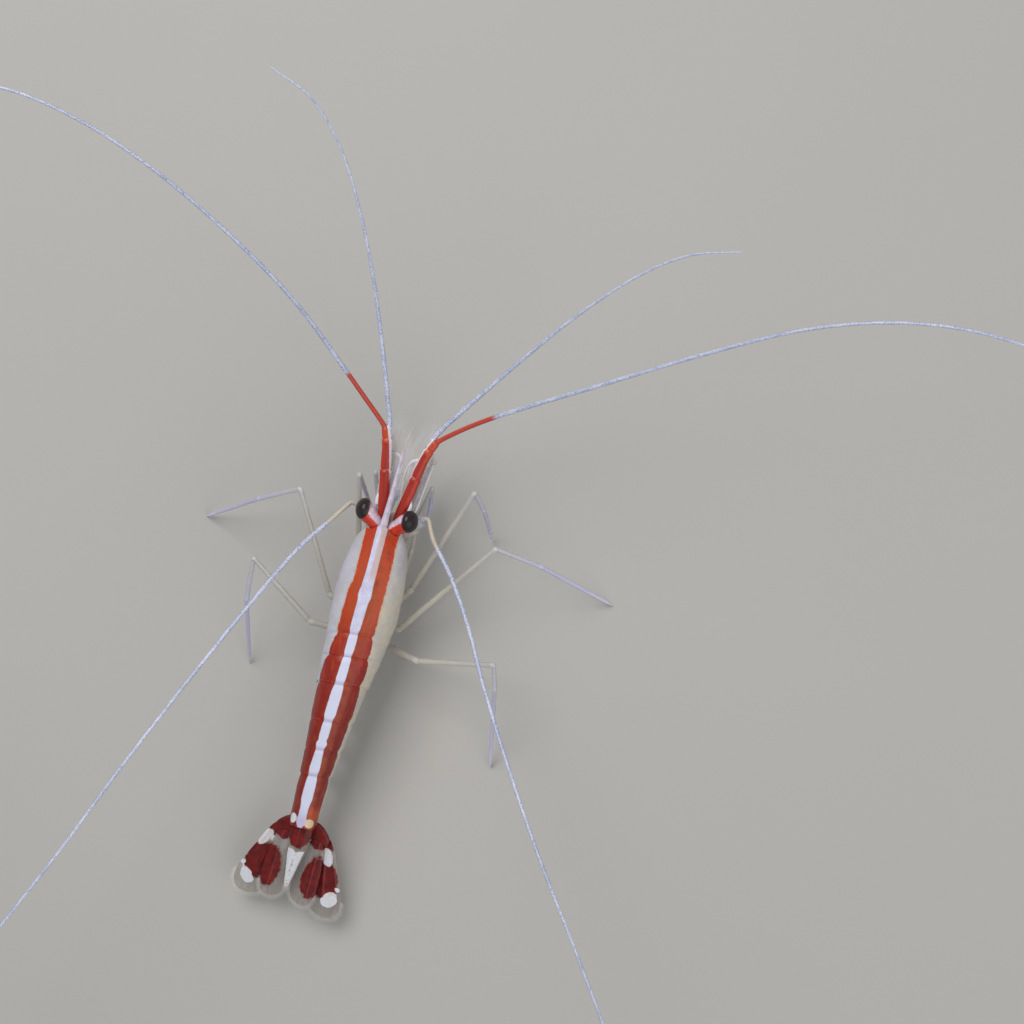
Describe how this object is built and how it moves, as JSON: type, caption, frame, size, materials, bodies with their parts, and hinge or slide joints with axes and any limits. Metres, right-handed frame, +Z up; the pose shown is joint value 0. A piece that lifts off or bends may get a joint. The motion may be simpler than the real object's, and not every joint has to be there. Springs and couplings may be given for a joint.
{
  "type": "cleaner shrimp model",
  "caption": "Life-size still model of a red and white striped cleaner shrimp standing on its walking legs, with long white feelers and a spread tail fan.",
  "frame": {"origin": "centre of the bounding box at floor level, a little to the left of the animal's head end", "axes": "+Z up, the head points to -Y, the animal's own left is +X"},
  "size_m": [0.13, 0.1126, 0.0407],
  "materials": {
    "shell": "glossy moist shell, red bands beside a white back stripe, milky flanks",
    "white_stripe": "glossy lilac-white shell",
    "eye": "wet black-brown cornea",
    "eyestalk": "pinkish white with an orange-red band",
    "antennule_base": "deep red with a thin white inner edge",
    "antennule": "bluish white, finely ringed",
    "antenna": "yellowish at the root, white further out",
    "limb": "glassy grey-lilac leg",
    "clear_blade": "clear, thin blade",
    "swimmeret": "milky, translucent",
    "tail_fan": "dark red blades with white spots and clear margins"
  },
  "bodies": {
    "root": {"carapace": "shell", "rostrum": "white_stripe", "abdomen_1": "shell", "abdomen_2": "shell", "abdomen_3": "shell", "abdomen_4": "shell", "abdomen_5": "shell", "abdomen_6": "shell", "mouthparts": "limb", "eye_left": "eye", "eyestalk_left": "eyestalk", "antennal_scale_left": "clear_blade", "antenna_peduncle_left": "antenna", "antennule_peduncle_left": "antennule_base", "eye_right": "eye", "eyestalk_right": "eyestalk", "antennal_scale_right": "clear_blade", "antenna_peduncle_right": "antenna", "antennule_peduncle_right": "antennule_base", "antennule_outer_left_near": "antennule", "antennule_outer_left_far": "antennule", "antennule_outer_right_near": "antennule", "antennule_outer_right_far": "antennule", "antennule_inner_left_near": "antennule", "antennule_inner_left_far": "antennule", "antennule_inner_right_near": "antennule", "antennule_inner_right_far": "antennule", "antenna_left_near": "antenna", "antenna_left_far": "antenna", "antenna_right_near": "antenna", "antenna_right_far": "antenna", "leg_1_left": "limb", "leg_1_right": "limb", "leg_2_left": "limb", "leg_2_right": "limb", "leg_3_left": "limb", "leg_3_right": "limb", "leg_4_left": "limb", "leg_4_right": "limb", "leg_5_left": "limb", "leg_5_right": "limb", "maxilliped_left": "limb", "maxilliped_right": "limb", "pleopod_1_left": "swimmeret", "pleopod_1_right": "swimmeret", "pleopod_2_left": "swimmeret", "pleopod_2_right": "swimmeret", "pleopod_3_left": "swimmeret", "pleopod_3_right": "swimmeret", "pleopod_4_left": "swimmeret", "pleopod_4_right": "swimmeret", "pleopod_5_left": "swimmeret", "pleopod_5_right": "swimmeret", "telson": "tail_fan", "uropod_base_left": "tail_fan", "uropod_inner_left": "tail_fan", "uropod_outer_left": "tail_fan", "uropod_base_right": "tail_fan", "uropod_inner_right": "tail_fan", "uropod_outer_right": "tail_fan"}
  },
  "joints": []
}
